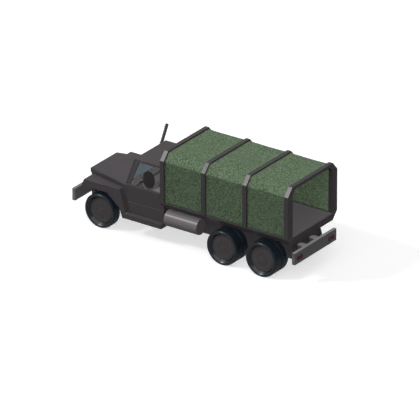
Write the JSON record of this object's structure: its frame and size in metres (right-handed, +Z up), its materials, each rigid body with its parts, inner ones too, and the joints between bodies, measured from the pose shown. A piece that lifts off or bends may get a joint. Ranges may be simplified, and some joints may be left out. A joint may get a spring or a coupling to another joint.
{
  "type": "military cargo truck",
  "caption": "Bonneted six-wheel-drive cargo truck with twin rear tyres, a hooped green canvas cover over an open-backed bed, side tank and leaning exhaust stack.",
  "frame": {"origin": "on the ground under the middle of the truck's length and width", "axes": "+X forward, +Y to the driver's left, +Z up"},
  "size_m": [7.697, 2.505, 3.021],
  "materials": {
    "body_paint": "matt, faintly violet dark grey",
    "bow_paint": "satin dark grey",
    "bumper": "matt grey",
    "chassis_paint": "matt dark grey",
    "tank": "satin grey",
    "canvas": "woven green canvas",
    "tyre": "blue-black rubber",
    "wheel": "matt dark grey",
    "lamp_red": "dark red lens",
    "lamp_clear": "clear lens",
    "window": "pale blue glass",
    "seat_cloth": "grey-brown seat cloth",
    "trim": "black trim",
    "iron": "dark cast metal",
    "exhaust": "dull steel"
  },
  "bodies": {
    "truck": {"chassis_rails": "chassis_paint", "chassis_cross_members": "chassis_paint", "chassis_skirts": "body_paint", "front_bumper": "bumper", "rear_bumper": "bumper", "tail_lamps": "lamp_red", "fuel_tanks": "tank", "bed_rails": "body_paint", "bed_bearers": "chassis_paint", "bed_floor": "body_paint", "cargo_bows": "bow_paint", "headboard": "body_paint", "canvas_cover": "canvas", "cab_floor": "body_paint", "cowl": "body_paint", "cab_back": "body_paint", "cab_roof": "body_paint", "windows": "window", "dashboard": "trim", "seats": "seat_cloth", "front_fenders": "body_paint", "inner_fenders": "chassis_paint", "radiator_shell": "body_paint", "headlamps": "lamp_clear", "exhaust_stack": "exhaust", "engine": "iron", "driveline": "iron", "front_axle": "iron", "rear_axles": "iron", "leaf_springs": "iron"},
    "hood": {"hood": "body_paint"},
    "door_left": {"door_left": "body_paint"},
    "door_right": {"door_right": "body_paint"},
    "steering_wheel": {"steering_wheel": "trim"},
    "knuckle_left": {"knuckle_left": "iron"},
    "knuckle_right": {"knuckle_right": "iron"},
    "tie_rod": {"tie_rod": "iron"},
    "wheel_front_left": {"wheel_front_left": "wheel", "tyre_front_left": "tyre"},
    "wheel_front_right": {"wheel_front_right": "wheel", "tyre_front_right": "tyre"},
    "wheel_mid_left": {"wheel_mid_left": "wheel", "tyre_mid_left": "tyre"},
    "wheel_mid_right": {"wheel_mid_right": "wheel", "tyre_mid_right": "tyre"},
    "wheel_rear_left": {"wheel_rear_left": "wheel", "tyre_rear_left": "tyre"},
    "wheel_rear_right": {"wheel_rear_right": "wheel", "tyre_rear_right": "tyre"}
  },
  "joints": [
    {"name": "hood_lift", "type": "hinge", "parent": "truck", "child": "hood", "pos_m": [2.2135, 0, 1.56], "axis": [0, -1, 0], "range_deg": [0, 55]},
    {"name": "door_left_swing", "type": "hinge", "parent": "truck", "child": "door_left", "pos_m": [2.0735, 1.02, 1.3], "axis": [0, 0, -1], "range_deg": [0, 70]},
    {"name": "door_right_swing", "type": "hinge", "parent": "truck", "child": "door_right", "pos_m": [2.0735, -1.02, 1.3], "axis": [0, 0, 1], "range_deg": [0, 70]},
    {"name": "steer_left", "type": "hinge", "parent": "truck", "child": "knuckle_left", "pos_m": [2.9625, 0.8, 0.535], "axis": [0, 0, 1], "range_deg": [-30, 30]},
    {"name": "steer_right", "type": "hinge", "parent": "truck", "child": "knuckle_right", "pos_m": [2.9625, -0.8, 0.535], "axis": [0, 0, 1], "range_deg": [-30, 30]},
    {"name": "tie_rod_pivot", "type": "hinge", "parent": "knuckle_left", "child": "tie_rod", "pos_m": [2.7225, 0.8, 0.44], "axis": [0, 0, 1], "range_deg": [-30, 30]},
    {"name": "steering_wheel_turn", "type": "hinge", "parent": "truck", "child": "steering_wheel", "pos_m": [1.6985, 0.44, 1.605], "axis": [-0.9063, 0, 0.4226], "range_deg": [-480, 480]},
    {"name": "wheel_front_left_spin", "type": "hinge", "parent": "knuckle_left", "child": "wheel_front_left", "pos_m": [2.9625, 1, 0.535], "axis": [0, 1, 0], "continuous": true},
    {"name": "wheel_front_right_spin", "type": "hinge", "parent": "knuckle_right", "child": "wheel_front_right", "pos_m": [2.9625, -1, 0.535], "axis": [0, 1, 0], "continuous": true},
    {"name": "wheel_mid_left_spin", "type": "hinge", "parent": "truck", "child": "wheel_mid_left", "pos_m": [-1.3835, 1, 0.535], "axis": [0, 1, 0], "continuous": true},
    {"name": "wheel_mid_right_spin", "type": "hinge", "parent": "truck", "child": "wheel_mid_right", "pos_m": [-1.3835, -1, 0.535], "axis": [0, 1, 0], "continuous": true},
    {"name": "wheel_rear_left_spin", "type": "hinge", "parent": "truck", "child": "wheel_rear_left", "pos_m": [-2.7395, 1, 0.535], "axis": [0, 1, 0], "continuous": true},
    {"name": "wheel_rear_right_spin", "type": "hinge", "parent": "truck", "child": "wheel_rear_right", "pos_m": [-2.7395, -1, 0.535], "axis": [0, 1, 0], "continuous": true}
  ],
  "couplings": [
    {"joint": "steer_right", "follows": "steer_left", "ratio": 1},
    {"joint": "tie_rod_pivot", "follows": "steer_left", "ratio": -1},
    {"joint": "steering_wheel_turn", "follows": "steer_left", "ratio": 16}
  ]
}
